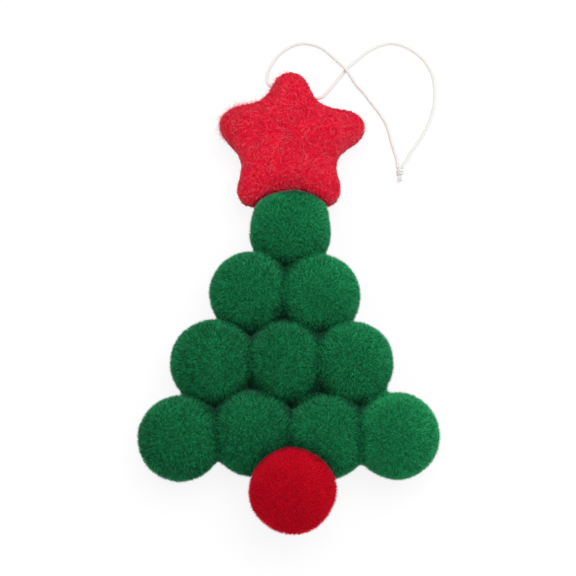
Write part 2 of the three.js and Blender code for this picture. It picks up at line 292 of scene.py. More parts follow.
def math_node(tree, operation, *values, **settings):
    """What an operation makes of values or sockets"""
    settings = {"operation": operation, **settings}
    return place_node(tree, "ShaderNodeMath", settings, dict(enumerate(values))).outputs[0]


def map_range(tree, value, low, high):
    """A value from 0 to 1, moved to lie between low and high"""
    inputs = {"Value": value, "To Min": low, "To Max": high}
    return place_node(tree, "ShaderNodeMapRange", {}, inputs).outputs["Result"]


def noise_node(tree, place, scale, detail):
    """Uneven values round a place, this fine per metre"""
    inputs = {"Vector": place, "Scale": scale, "Detail": detail}
    return place_node(tree, "ShaderNodeTexNoise", {}, inputs).outputs


def bump_node(tree, height, strength, distance):
    """The normals of a surface that is uneven by this distance"""
    inputs = {"Strength": strength, "Distance": distance, "Height": height}
    return place_node(tree, "ShaderNodeBump", {}, inputs).outputs["Normal"]


def new_finish(name):
    """A material with its node tree and its surface shader"""
    finish = bpy.data.materials.new(name)
    finish.use_nodes = True
    return finish, finish.node_tree, finish.node_tree.nodes["Principled BSDF"]


def colour_ramp(tree, factor, stops):
    """A ramp through (place, colour) stops"""
    ramp = place_node(tree, "ShaderNodeValToRGB", {}, {"Fac": factor})
    steps = ramp.color_ramp.elements
    while len(steps) < len(stops):
        steps.new(1.0)
    for step, (place, colour) in zip(steps, stops):
        step.position = place
        step.color = (*colour, 1.0)
    return ramp.outputs["Color"]


def felt_finish(name, tones, root_tip_shading, tip_highlight, sheen):
    """Felt in four tones, whose fibres carry painted shade at the root and a painted highlight at the tip,
    where they also pale a little
    """
    finish, tree, shader = new_finish(name)
    place = place_node(tree, "ShaderNodeTexCoord", {}, {}).outputs["Object"]
    fleck = noise_node(tree, place, FLECK_SCALE, 1.0)["Fac"]
    fibre, tone, height, dark = [
        place_node(tree, "ShaderNodeAttribute", {"attribute_name": attribute}, {}).outputs["Fac"]
        for attribute in ("fibre", "tone", "height", "dark")
    ]
    # The body under the pile is darkened by the painted shade
    base = math_node(tree, "MULTIPLY_ADD", dark, -BASE_SHADE, fleck)
    shade = place_node(tree, "ShaderNodeMix", {"data_type": "FLOAT"}, {0: fibre, 2: base, 3: tone})
    colour = colour_ramp(tree, shade.outputs[0], list(zip(TONE_PLACES, tones)))
    # Fibres are painted darker at the root as painted shade and lighter at the tip as a painted highlight,
    # and they pale at the tip as more painted highlight
    fibre_shading = map_range(tree, height, *root_tip_shading)
    shaded_colour = place_node(tree, "ShaderNodeVectorMath", {"operation": "SCALE"}, {0: colour, "Scale": fibre_shading})
    pale = math_node(tree, "MULTIPLY", math_node(tree, "MULTIPLY", height, tone), tip_highlight)
    highlighted = place_node(
        tree, "ShaderNodeMix", {"data_type": "RGBA"},
        {0: pale, 6: shaded_colour.outputs["Vector"], 7: (*tones[3], 1.0)},
    )
    grain = noise_node(tree, place, GRAIN_SCALE, 1.0)["Fac"]
    set_inputs(tree, shader, {
        "Base Color": highlighted.outputs[2], "Roughness": map_range(tree, fleck, 0.85, 1.0),
        "Normal": bump_node(tree, grain, 0.35, 0.06 * MM), "Specular IOR Level": 0.02,
        "Sheen Weight": 1.0, "Sheen Roughness": 0.35, "Sheen Tint": (*sheen, 1.0),
    })
    return finish


def felt_tones(colour, shares, haze):
    """The four tones of a felt, as shares of its colour, with white haze on its palest fibres"""
    tones = []
    for share, white in zip(shares, HAZE_SHARES):
        tones.append(tuple(min(1.0, channel * share + haze * white) for channel in colour))
    return tones


def cord_finish(colour):
    """White twisted cord with fine fibres along it"""
    finish, tree, shader = new_finish("white_cord")
    place = place_node(tree, "ShaderNodeTexCoord", {}, {}).outputs["Object"]
    fibre = noise_node(tree, place, 5200.0, 2.0)["Fac"]
    worn = [channel * 0.95 for channel in colour]
    set_inputs(tree, shader, {
        "Base Color": colour_ramp(tree, fibre, [(0.3, worn), (0.6, colour)]),
        "Normal": bump_node(tree, fibre, 0.4, 0.04 * MM), "Roughness": 0.75,
    })
    return finish


def glue_finish(colour):
    """Set hot-melt glue, milky and faintly amber"""
    finish, tree, shader = new_finish("hot_melt_glue")
    place = place_node(tree, "ShaderNodeTexCoord", {}, {}).outputs["Object"]
    cloud = noise_node(tree, place, 900.0, 3.0)["Fac"]
    amber = (colour[0] * 0.8, colour[1] * 0.68, colour[2] * 0.5)
    set_inputs(tree, shader, {
        "Base Color": colour_ramp(tree, cloud, [(0.35, amber), (0.65, colour)]),
        "Roughness": map_range(tree, cloud, 0.2, 0.45), "Normal": bump_node(tree, cloud, 0.3, 0.1 * MM),
        "IOR": 1.48,
    })
    return finish


# Pieces


def new_object(name, data):
    """A new object in the scene"""
    made = bpy.data.objects.new(name, data)
    bpy.context.scene.collection.objects.link(made)
    return made


def new_piece(name, shape, finish):
    """An object at the origin from a bmesh, with smooth faces"""
    mesh = bpy.data.meshes.new(name)
    shape.to_mesh(mesh)
    shape.free()
    mesh.shade_smooth()
    mesh.materials.append(finish)
    return new_object(name, mesh)


def settle(piece):
    """Makes a piece's modifiers, or a curve's thickness, part of its mesh"""
    graph = bpy.context.evaluated_depsgraph_get()
    evaluated = piece.evaluated_get(graph)
    mesh = bpy.data.meshes.new_from_object(evaluated, preserve_all_data_layers=True, depsgraph=graph)
    name = piece.name
    finishes = list(piece.data.materials)
    if piece.type == "MESH":
        piece.modifiers.clear()
        piece.data = mesh
    else:
        bpy.data.objects.remove(piece)
        piece = new_object(name, mesh)
    mesh.name = name
    if not mesh.materials:
        for finish in finishes:
            mesh.materials.append(finish)
    return piece


def dress(piece, node, body):
    """Puts a piece in the place of its CAD node"""
    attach(piece, body)
    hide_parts(node)


def soft_min(first, second, width):
    """The smaller of two lengths, rounded off where they are about the same"""
    if second - first > width:
        return first
    share = max(0.0, min(1.0, 0.5 + 0.5 * (second - first) / width))
    return second + (first - second) * share - width * share * (1.0 - share)


def smooth_step(value, low, high):
    """0 below low, 1 above high and smooth between them"""
    share = max(0.0, min(1.0, (value - low) / (high - low)))
    return share * share * (3.0 - 2.0 * share)


def lumps(place, height):
    """How far hand-rolled felt stands proud or falls short at a place"""
    return height * sum(share * noise.noise(place / width) for width, share in LUMP_SIZES)


# Fibres


def fibre_shape(name, rings, finish):
    """One fibre of unit length and width, as a three-sided rod through (height, radius, bend) rings"""
    shape = bmesh.new()
    height, radius, bend = rings[0]
    bmesh.ops.create_circle(shape, cap_ends=True, segments=3, radius=radius)
    bmesh.ops.translate(shape, vec=(0.0, bend, height), verts=shape.verts)
    face = next(iter(shape.faces))
    for ring, below in zip(rings[1:], rings):
        face = bmesh.ops.extrude_discrete_faces(shape, faces=[face])["faces"][0]
        verts = list(face.verts)
        middle = Vector((0.0, below[2], below[0]))
        bmesh.ops.translate(shape, vec=-middle, verts=verts)
        if ring[1] > 0.0:
            share = ring[1] / below[1]
            bmesh.ops.scale(shape, vec=(share, share, 1.0), verts=verts)
            bmesh.ops.translate(shape, vec=(0.0, ring[2], ring[0]), verts=verts)
        else:
            bmesh.ops.pointmerge(shape, verts=verts, merge_co=(0.0, ring[2], ring[0]))
    bmesh.ops.holes_fill(shape, edges=[edge for edge in shape.edges if edge.is_boundary], sides=3)
    bmesh.ops.recalc_face_normals(shape, faces=shape.faces)
    along = shape.verts.layers.float.new("height")
    fibre = shape.verts.layers.float.new("fibre")
    for vert in shape.verts:
        vert[along] = max(0.0, vert.co.z)
        vert[fibre] = 1.0
    return new_piece(name, shape, finish)


def fibre_nodes():
    """Node group that stands fibres on a piece's surface and gives each of them a tone, darkened by the
    painted shade on the surface
    """
    tree = bpy.data.node_groups.new("Felt fibres", "GeometryNodeTree")
    tree.interface.new_socket("Geometry", in_out="OUTPUT", socket_type="NodeSocketGeometry")
    sockets = {"Geometry": "Geometry", "Fibre": "Object", "Seed": "Int", "Cover": "String"}
    sockets.update(dict.fromkeys((*FIBRE_SIZES, *FIBRE_LAY, *FIBRE_TONES), "Float"))
    for name, kind in sockets.items():
        tree.interface.new_socket(name, in_out="INPUT", socket_type="NodeSocket" + kind)
    given = tree.nodes.new("NodeGroupInput").outputs

    def attribute(name):
        """A value of the piece's surface"""
        inputs = {"Name": name}
        node = place_node(tree, "GeometryNodeInputNamedAttribute", {"data_type": "FLOAT"}, inputs)
        return node.outputs["Attribute"]

    def chance(low, high, seed):
        """A random number for each fibre"""
        inputs = {2: low, 3: high, 8: seed}
        return place_node(tree, "FunctionNodeRandomValue", {"data_type": "FLOAT"}, inputs).outputs[1]

    def vector_math(operation, inputs):
        """What an operation makes of vectors"""
        return place_node(tree, "ShaderNodeVectorMath", {"operation": operation}, inputs).outputs[0]

    def store(geometry, domain, name, value):
        """The geometry with a value kept on it"""
        settings = {"data_type": "FLOAT", "domain": domain}
        inputs = {"Geometry": geometry, "Name": name, "Value": value}
        return place_node(tree, "GeometryNodeStoreNamedAttribute", settings, inputs).outputs["Geometry"]

    covered = attribute(given["Cover"])
    dense = math_node(tree, "MULTIPLY", given["Density"], covered)
    points = place_node(
        tree, "GeometryNodeDistributePointsOnFaces", {},
        {"Mesh": given["Geometry"], "Density": dense, "Seed": given["Seed"]},
    )
    place = place_node(tree, "GeometryNodeInputPosition", {}, {}).outputs[0]
    swirl = noise_node(tree, place, given["Swirl"], 0.0)["Color"]
    flow = vector_math("SUBTRACT", {0: swirl, 1: (0.5, 0.5, 0.5)})
    stray = place_node(
        tree, "FunctionNodeRandomValue", {"data_type": "FLOAT_VECTOR"},
        {0: (-1.0, -1.0, -1.0), 1: (1.0, 1.0, 1.0), 8: 1},
    )
    strays = vector_math("SCALE", {0: stray.outputs[0], "Scale": given["Chaos"]})
    turned = place_node(
        tree, "FunctionNodeAlignRotationToVector", {"axis": "X", "pivot_axis": "Z"},
        {"Rotation": points.outputs["Rotation"], "Vector": vector_math("ADD", {0: flow, 1: strays})},
    )
    lean = math_node(tree, "MULTIPLY_ADD", chance(-1.0, 1.0, 2), given["Spread"], given["Lean"])
    tilt = place_node(tree, "ShaderNodeCombineXYZ", {}, {"Y": lean})
    tilted = place_node(tree, "FunctionNodeEulerToRotation", {}, {"Euler": tilt.outputs[0]})
    turn = place_node(
        tree, "FunctionNodeRotateRotation", {"rotation_space": "LOCAL"},
        {"Rotation": turned.outputs[0], "Rotate By": tilted.outputs[0]},
    )
    size = math_node(tree, "MULTIPLY", chance(*FIBRE_LENGTHS, 3), covered)
    tall = math_node(tree, "MULTIPLY", size, given["Length"])
    width = given["Width"]
    scale = place_node(tree, "ShaderNodeCombineXYZ", {}, {"X": width, "Y": width, "Z": tall})
    fibre = place_node(tree, "GeometryNodeObjectInfo", {}, {"Object": given["Fibre"]})
    stood = place_node(
        tree, "GeometryNodeInstanceOnPoints", {},
        {
            "Points": points.outputs["Points"], "Instance": fibre.outputs["Geometry"],
            "Rotation": turn.outputs[0], "Scale": scale.outputs[0],
        },
    )
    tone = given["Tone"]
    for fineness, share in ((FLECK_SCALE, "Flecks"), (PATCH_SCALE, "Patches")):
        centred = math_node(tree, "SUBTRACT", noise_node(tree, place, fineness, 1.0)["Fac"], 0.5)
        tone = math_node(tree, "MULTIPLY_ADD", centred, given[share], tone)
    # The painted shade stored on the surface darkens the fibres' tones
    shaded = math_node(tree, "MULTIPLY", attribute("dark"), given["Shade"])
    tone = math_node(tree, "SUBTRACT", tone, shaded)
    tone = math_node(tree, "MULTIPLY_ADD", chance(-0.5, 0.5, 4), given["Vary"], tone, use_clamp=True)
    rooted = store(stood.outputs["Instances"], "INSTANCE", "tone", tone)
    grown = place_node(tree, "GeometryNodeRealizeInstances", {}, {"Geometry": rooted}).outputs["Geometry"]
    grown = store(grown, "POINT", given["Cover"], 0.0)
    joined = tree.nodes.new("GeometryNodeJoinGeometry")
    tree.links.new(grown, joined.inputs[0])
    tree.links.new(given["Geometry"], joined.inputs[0])
    ending = tree.nodes.new("NodeGroupOutput")
    tree.links.new(joined.outputs[0], ending.inputs["Geometry"])
    return tree


def fibre_values(settings, kind, lay, tones):
    """Values of the node group's inputs for one kind of fibre"""
    sizes = {name: getattr(settings, f"{kind}_{name.lower()}") for name in FIBRE_SIZES}
    return {**sizes, **dict(zip(FIBRE_LAY, lay)), **dict(zip(FIBRE_TONES, tones))}


def grow(piece, tree, fibre, seed, values):
    """Stands fibres on a piece with these values of the node group's inputs"""
    modifier = piece.modifiers.new("Fibres", "NODES")
    modifier.node_group = tree
    given = {"Fibre": fibre, "Seed": seed, "Cover": "cover", **values}
    for socket in tree.interface.items_tree:
        if socket.in_out == "INPUT" and socket.name in given:
            modifier[socket.identifier] = given[socket.name]


def values_of(items, name, kind, width=1):
    """One value, or a row of values, of each item of a mesh"""
    found = np.empty(len(items) * width, kind)
    items.foreach_get(name, found)
    return found.reshape(-1, width) if width > 1 else found


def bake_map(piece, middle, half):
    """A map of six charts round a felt body, above a strip on which fibres lie by their tone and height"""
    mesh = piece.data
    corner = values_of(mesh.loops, "vertex_index", np.int32)
    places = (values_of(mesh.vertices, "co", np.float32, 3) - np.array(middle)) / np.array(half)
    start = values_of(mesh.polygons, "loop_start", np.int32)
    count = values_of(mesh.polygons, "loop_total", np.int32)
    at = places[corner]
    centre = np.add.reduceat(at, start, axis=0) / count[:, None]
    axis = np.abs(centre).argmax(axis=1)
    front = np.take_along_axis(centre, axis[:, None], 1)[:, 0] > 0
    axis, front = np.repeat(axis, count), np.repeat(front, count)
    corners = np.arange(len(corner))
    depth = np.maximum(np.abs(at[corners, axis]), CHART_LEAST_DEPTH)
    across = np.arctan(at[corners, (axis + 1) % 3] / depth) / (math.pi / 4)
    along = np.arctan(at[corners, (axis + 2) % 3] / depth) / (math.pi / 4)
    across = (axis + 0.5 + CHART_INSET * np.clip(across, -CHART_LIMIT, CHART_LIMIT)) / 3
    along = (front + 0.5 + CHART_INSET * np.clip(along, -CHART_LIMIT, CHART_LIMIT)) / 2
    along = FIBRE_STRIP + along * (1.0 - FIBRE_STRIP)
    fibre, tone, height = [
        values_of(mesh.attributes[name].data, "value", np.float32)[corner]
        for name in ("fibre", "tone", "height")
    ]
    strip_across = STRIP_TONES[0] + STRIP_TONES[1] * tone + corners % 3 * STRIP_SIDE
    strip_along = FIBRE_STRIP * (STRIP_HEIGHTS[0] + STRIP_HEIGHTS[1] * height)
    across = np.where(fibre > 0.5, strip_across, across)
    along = np.where(fibre > 0.5, strip_along, along)
    layer = mesh.uv_layers.new(name="OFBake")
    layer.uv.foreach_set("vector", np.stack([across, along], axis=1).astype(np.float32).ravel())


# Balls


def plane_distance(first, second, distance):
    """How far the plane between two balls lies from the first one's middle"""
    return (distance**2 + first.radius**2 - second.radius**2) / (2 * distance)


def pressing(ball):
    """The balls that press on a ball, each with the direction and distance of the plane between them"""
    presses = []
    for other in BALLS.values():
        apart = other.middle - ball.middle
        distance = apart.length
        if other is not ball and distance < ball.radius + other.radius + PRESS_REACH:
            presses.append((other, apart / distance, plane_distance(ball, other, distance)))
    return presses


def dab_radius(radius, to_plane):
    """How wide a glue dab is, well inside the circle in which two balls touch"""
    contact = math.sqrt(max(0.0, radius**2 - to_plane**2))
    return max(DAB_LEAST_RADIUS, min(DAB_RADIUS, contact * DAB_SHARE))


def shade_from(place, others):
    """How much shade is painted on the felt at a place, from the neighbours that close it in"""
    dark = 0.0
    for middle, radius, reach, strength in others:
        dark += strength * (1.0 - smooth_step((place - middle).length - radius, 0.0, reach))
    return dark


def pit_shade(place, others):
    """How much shade is painted on the felt at a place, from the two nearest balls that make a pit with it
    """
    gaps = sorted((place - other.middle).length - other.radius for other in others)
    near, next_near = [1.0 - smooth_step(gap, 0.0, PIT_SHADE_REACH) for gap in gaps[:2]]
    return PIT_SHADE * near * next_near


def shoulder(way):
    """How far the top ball bulges beside the star that presses on it"""
    aside = (way.dot(SEAT_WAY) - SHOULDER_LEAN) / SHOULDER_SPREAD
    return SHOULDER_RISE * max(0.0, 1.0 - aside**2) ** 2


def press_reach(ball, way, other, normal, distance):
    """How far felt goes before it meets the wavy face of a neighbour, with a hollow for the glue dab"""
    lean = way.dot(normal)
    if lean < PRESS_LEAST_LEAN:
        return math.inf
    wave = PRESS_WAVE * noise.noise((ball.middle + way * (distance / lean)) / PRESS_WAVE_LENGTH)
    wave = wave if ball.name < other.name else -wave
    aside = distance * math.sqrt(max(0.0, 1.0 - lean * lean)) / lean
    width = dab_radius(ball.radius, distance)
    hollow = 1.0 - smooth_step(aside, width, width + DAB_HOLLOW_EDGE)
    pressed = wave * (1.0 - hollow) - PRESS_CLEARANCE - (DAB_HOLLOW - PRESS_CLEARANCE) * hollow
    return (distance + pressed) / lean


def crease_fill(ball, way, reach, others):
    """How far squeezed felt stands out beside a neighbour, and between two at the back to close the pit, so
    that the pit shows felt darkened by painted shade instead of the floor
    """
    back = PIT_FILL * smooth_step(-way.z, *PIT_BACK)
    fill = 0.0
    for _ in range(FILL_STEPS):
        place = ball.middle + way * (reach + fill)
        gaps = sorted((place - other.middle).length - other.radius - fill for other in others)
        near, next_near = [max(0.0, min(1.0, 1.0 - gap / PIT_WIDTH)) for gap in gaps[:2]]
        crease = max(0.0, min(1.0, 1.0 - gaps[0] / CREASE_FILL))
        fill = CREASE_FILL / 4 * crease**2 + back * near * next_near
    return fill


def felt_ball(ball, seed, finish, fibre, tree, settings, tones):
    """A rolled felt ball, pressed flat against its neighbours, with its short pile"""
    others = [other for other in GREEN_BALLS if other is not ball]
    shade_reach = SHADE_REACH if ball.rests else TRUNK_SHADE_REACH
    pile_depth = PILE_DEPTH if ball.rests else TRUNK_PILE_DEPTH
    pile_rise = PILE_RISE if ball.rests else TRUNK_PILE_RISE
    presses = pressing(ball)
    # Neighbours, and the star above the top ball, paint shade on the felt near them
    shaders = [
        (other.middle, other.radius, shade_reach, 1.0) for other in BALLS.values() if other is not ball
    ]
    if ball is TOP_BALL:
        shaders.append((STAR_MIDDLE, STAR_SEAT_RADIUS, STAR_SEAT_REACH, STAR_SEAT_SHADE))
    shape = bmesh.new()
    bmesh.ops.create_icosphere(shape, subdivisions=BALL_SUBDIVISIONS, radius=1.0)
    cover = shape.verts.layers.float.new("cover")
    dark = shape.verts.layers.float.new("dark")
    shift = LUMP_SHIFT * (seed + 1)
    for vert in shape.verts:
        way = vert.co.normalized()
        reach = ball.radius - settings.pile_length * pile_depth
        reach += lumps(way * ball.radius + shift, settings.lump_height)
        if ball is TOP_BALL:
            reach += shoulder(way)
        if ball.rests:
            reach += crease_fill(ball, way, reach, others)
        limit = min(press_reach(ball, way, *press) for press in presses)
        for _, normal, distance in presses:
            plug = smooth_step(way.dot(normal), *PLUG_LEAN)
            if plug > 0.0 and distance < ball.radius + PLUG_GAP:
                reach += max(0.0, limit - reach) * plug
        if ball.rests and way.z < -PRESS_LEAST_LEAN:
            limit = min(limit, (ball.middle.z - REST_CLEARANCE) / -way.z)
        place = ball.middle + way * soft_min(reach, limit, PRESS_ROUNDING)
        vert[cover] = smooth_step(limit - reach, PILE_START, pile_rise)
        # Painted shade from the neighbours, from the star on the top ball, and in the pits
        vert[dark] = shade_from(place, shaders)
        if ball.rests:
            vert[dark] += pit_shade(place, others)
            vert[cover] *= max(0.0, min(1.0, place.z / (PILE_FLOOR_RISE * settings.pile_length)))
        vert.co = place
    piece = new_piece(f"felt_{ball.name}", shape, finish)
    tones = (tones[0] + BALL_TONES.get(ball.name, 0.0), *tones[1:])
    grow(piece, tree, fibre, seed, fibre_values(settings, "pile", BALL_PILE_LAY, tones))
    piece = settle(piece)
    bake_map(piece, ball.middle, (ball.radius,) * 3)
    return piece


# Lines


def smooth_line(name, corners, resolution, closed):
    """Points of a smooth curve through these corners"""
    curve = bpy.data.curves.new(name, "CURVE")
    if not closed:
        curve.dimensions = "3D"
    spline = curve.splines.new("BEZIER")
    spline.use_cyclic_u = closed
    spline.resolution_u = resolution
    spline.bezier_points.add(len(corners) - 1)
    for point, corner in zip(spline.bezier_points, corners):
        point.co = corner
        point.handle_left_type = point.handle_right_type = "AUTO"
    holder = new_object(name, curve)
    bpy.context.view_layer.update()
    drawn = holder.to_mesh()
    line = [vert.co.copy() for vert in drawn.vertices]
    holder.to_mesh_clear()
    bpy.data.objects.remove(holder)
    return line


def even_points(line, count):
    """This many points, evenly spaced along a line of points"""
    travelled = [0.0]
    for first, second in zip(line, line[1:]):
        travelled.append(travelled[-1] + (second - first).length)
    points = []
    segment = 0
    for step in range(count):
        wanted = travelled[-1] * step / (count - 1)
        while segment < len(line) - 2 and travelled[segment + 1] < wanted:
            segment += 1
        span = travelled[segment + 1] - travelled[segment]
        share = (wanted - travelled[segment]) / span if span else 0.0
        points.append(line[segment].lerp(line[segment + 1], min(1.0, share)))
    return points


def smooth_route(points, step):
    """Points about a step apart along a smooth curve through these points"""
    line = smooth_line("route", points, 16, False)
    length = sum((second - first).length for first, second in zip(line, line[1:]))
    return even_points(line, max(2, round(length / step) + 1))


# Star


def star_outline(count):
    """Points round the star, on a smooth closed curve through its blunt tips and its notches"""
    corners = []
    for (angle, further), (notch_angle, notch_further) in zip(STAR_TIPS, STAR_NOTCHES):
        reach = STAR_REACH + further * MM - STAR_TIP_SETBACK
        turn = Matrix.Rotation(math.radians(angle), 3, "Z")
        corners.append(turn @ Vector((reach, -STAR_TIP_HALF_WIDTH, 0.0)))
        corners.append(turn @ Vector((reach, STAR_TIP_HALF_WIDTH, 0.0)))
        turn = Matrix.Rotation(math.radians(notch_angle), 3, "Z")
        corners.append(turn @ Vector((STAR_WAIST + notch_further * MM, 0.0, 0.0)))
    line = smooth_line("star_outline", corners, 24, True)
    return even_points([*line, line[0]], count + 1)[:-1]


def star_pad():
    """The star's padded form: rings of its outline that draw in towards a crown, front and back"""
    outline = star_outline(STAR_POINTS)
    shape = bmesh.new()
    bmesh.ops.create_circle(shape, segments=len(outline), radius=1.0)
    shape.verts.ensure_lookup_table()
    for vert, place in zip(shape.verts, outline):
        vert.co = place
    edges = shape.edges[:]
    last_share, last_height = 1.0, 0.0
    for share in STAR_RINGS:
        height = STAR_HALF_THICKNESS * math.sqrt(1.0 - share**4)
        ring = bmesh.ops.extrude_edge_only(shape, edges=edges)["geom"]
        verts = [part for part in ring if isinstance(part, bmesh.types.BMVert)]
        edges = [part for part in ring if isinstance(part, bmesh.types.BMEdge)]
        drawn_in = share / last_share
        bmesh.ops.scale(shape, vec=(drawn_in, drawn_in, 1.0), verts=verts)
        bmesh.ops.translate(shape, vec=(0.0, 0.0, height - last_height), verts=verts)
        last_share, last_height = share, height
    bmesh.ops.edgeloop_fill(shape, edges=edges)
    everything = shape.verts[:] + shape.edges[:] + shape.faces[:]
    bmesh.ops.mirror(shape, geom=everything, merge_dist=MERGE_DISTANCE, axis="Z")
    bmesh.ops.remove_doubles(shape, verts=shape.verts, dist=MERGE_DISTANCE)
    bmesh.ops.recalc_face_normals(shape, faces=shape.faces)
    bmesh.ops.translate(shape, vec=STAR_MIDDLE, verts=shape.verts)
    return shape


def hole_cutter(finish):
    """A rod through the star's top arm, as wide as the hole that the cord is threaded through"""
    shape = bmesh.new()
    bmesh.ops.create_cone(
        shape, cap_ends=True, segments=16, radius1=HOLE_RADIUS, radius2=HOLE_RADIUS, depth=HOLE_LENGTH * 2
    )
    bmesh.ops.rotate(shape, matrix=Matrix.Rotation(math.pi / 2, 3, "Y"), verts=shape.verts)
    bmesh.ops.rotate(shape, matrix=Matrix.Rotation(HOLE_TILT, 3, "Z"), verts=shape.verts)
    bmesh.ops.translate(shape, vec=LOOP_ORIGIN + HOLE_MIDDLE, verts=shape.verts)
    return new_piece("hole_cutter", shape, finish)


def felt_star(finish, tuft, strand, tree, settings):
    """The padded star, seated on the top ball, with its pile and its longer strands"""
    piece = new_piece("felt_star", star_pad(), finish)
    remesh = piece.modifiers.new("Even mesh", "REMESH")
    remesh.mode = "VOXEL"
    remesh.voxel_size = STAR_VOXEL
    remesh.use_smooth_shade = True
    cutter = hole_cutter(finish)
    hole = piece.modifiers.new("Cord hole", "BOOLEAN")
    hole.operation = "DIFFERENCE"
    hole.solver = "EXACT"
    hole.object = cutter
    piece = settle(piece)
    bpy.data.objects.remove(cutter)
    shape = bmesh.new()
    shape.from_mesh(piece.data)
    cover = shape.verts.layers.float.new("cover")
    dark = shape.verts.layers.float.new("dark")
    wisp = shape.verts.layers.float.new("wisp")
    for vert in shape.verts:
        # The side rims are painted paler as a painted sheen, the crown a little darker, and the felt beside
        # the top ball painted in shade
        rim = smooth_step(1.0 - abs(vert.normal.z), *STAR_RIM_LEAN)
        crown = 1.0 - smooth_step((vert.co.xy - STAR_MIDDLE.xy).length, *STAR_CROWN_REACH)
        vert.co += vert.normal * (lumps(vert.co, settings.lump_height) - settings.fuzz_depth)
        from_ball = vert.co - TOP_BALL.middle
        distance = from_ball.length
        aside = (from_ball - STAR_DAB_WAY * from_ball.dot(STAR_DAB_WAY)).length
        seat = TOP_BALL.radius + DAB_HOLLOW + shoulder(from_ball / distance)
        seat += settings.seat_gap * smooth_step(aside, DAB_RADIUS, SEAT_EDGE)
        pressed = -soft_min(-distance, -seat, SEAT_ROUNDING)
        vert.co = TOP_BALL.middle + from_ball * (pressed / distance)
        vert.co.z = max(vert.co.z, REST_CLEARANCE)
        room = min(vert.co.z * STAR_FLOOR_ROOM, pressed - seat + SEAT_ROOM)
        vert[cover] = smooth_step(room, *STAR_PILE_ROOM)
        vert[dark] = shade_from(vert.co, [(TOP_BALL.middle, seat, STAR_SHADE_REACH, 1.0)])
        rim *= smooth_step(pressed - seat, 0.0, STAR_RIM_REACH)
        vert[dark] += STAR_CROWN_SHADE * crown - STAR_RIM_PAINTED_SHEEN * rim
        vert[wisp] = smooth_step((vert.co - STAR_MIDDLE).dot(WISP_WAY), *WISP_REACH)
    shape.to_mesh(piece.data)
    shape.free()
    piece.data.shade_smooth()
    # The last of each kind's fibre tones is how strongly the painted shade darkens it
    for seed, fibre, kind, patch, lay, tones in [
        (40, tuft, "pile", "cover", (1.25, 0.2, 200.0, 0.3), (0.5, 0.5, 0.3, 0.4, 0.8)),
        (41, strand, "strand", "cover", (1.35, 0.12, 230.0, 0.3), (0.75, 0.6, 0.4, 0.9, 1.0)),
        (42, strand, "wisp", "wisp", (1.1, 0.35, 230.0, 1.0), (0.7, 0.0, 0.0, 0.5, 0.0)),
    ]:
        values = fibre_values(settings, kind, lay, tones)
        grow(piece, tree, fibre, seed, {**values, "Cover": patch})
    piece = settle(piece)
    bake_map(piece, STAR_MIDDLE, (STAR_REACH, STAR_REACH, STAR_HALF_THICKNESS))
    return piece


# Glue


def glue_pair(name):
    """The names of the two pieces that a glue dab holds together"""
    first, second = name[len("glue_"):].split("_row", 1)
    pieces = []
    for tag in (first, "row" + second):
        pieces.append(f"green_ball_{tag}" if tag.startswith("row") else "trunk_ball")
    return pieces


def glue_dab(name, seed, finish):
    """A pressed dab of set glue, uneven at its rim"""
    if name == "glue_star_row1_1":
        normal = STAR_DAB_WAY
        middle, bend, reach = TOP_BALL.middle, TOP_BALL.radius + DAB_HOLLOW, DAB_RADIUS
    else:
        first, second = (BALLS[tag] for tag in glue_pair(name))
        apart = second.middle - first.middle
        normal = apart.normalized()
        to_plane = plane_distance(first, second, apart.length)
        middle, bend = first.middle + normal * to_plane, 0.0
        reach = dab_radius(first.radius, to_plane)
    turn = normal.to_track_quat("Z", "Y").to_matrix()
    shape = bmesh.new()
    bmesh.ops.create_icosphere(shape, subdivisions=4, radius=1.0)
    shift = Vector((seed * 3.7, seed * 1.9, 0.0))
    for vert in shape.verts:
        flat = Vector((vert.co.x, vert.co.y, 0.0))
        rim = DAB_FULLNESS + DAB_RIM_WAVE * noise.noise(flat * 1.6 + shift)
        thick = DAB_HALF_THICKNESS * (DAB_FULLNESS + DAB_FACE_WAVE * noise.noise(flat * 4.0 - shift))
        place = flat * reach * rim
        if bend:
            place = (place + Vector((0.0, 0.0, bend))).normalized() * (bend + vert.co.z * thick)
        else:
            place.z = vert.co.z * thick
        vert.co = middle + turn @ place
    return new_piece(f"set_{name}", shape, finish)


# Cord


def add_plies(curve, route, diameter, pitch):
    """Adds three plies that are laid round a route as a twisted cord"""
    ply_radius = diameter * PLY_SHARE
    offset = diameter / 2 - ply_radius
    along = (route[1] - route[0]).normalized()
    side = along.orthogonal().normalized()
    sides = []
    for index in range(len(route)):
        ahead = (route[min(index + 1, len(route) - 1)] - route[max(index - 1, 0)]).normalized()
        side = (side - ahead * side.dot(ahead)).normalized()
        sides.append((side.copy(), ahead.cross(side)))
    step = (route[1] - route[0]).length
    for ply in range(3):
        spline = curve.splines.new("POLY")
        spline.points.add(len(route) - 1)
        for index, (point, place) in enumerate(zip(spline.points, route)):
            angle = 2 * math.pi * (index * step / pitch + ply / 3)
            first, second = sides[index]
            lay = place + (first * math.cos(angle) + second * math.sin(angle)) * offset
            point.co = (*lay, 1.0)
    curve.bevel_depth = ply_radius
    curve.bevel_resolution = 2
    curve.use_fill_caps = True


def twisted_cord(name, routes, diameter, finish):
    """Twisted cord along one or more routes, as one mesh"""
    curve = bpy.data.curves.new(name, "CURVE")
    curve.dimensions = "3D"
    for route in routes:
        add_plies(curve, route, diameter, PLY_PITCH * diameter)
    curve.materials.append(finish)
    holder = new_object(name, curve)
    bpy.context.view_layer.update()
    piece = settle(holder)
    piece.data.shade_smooth()
    return piece


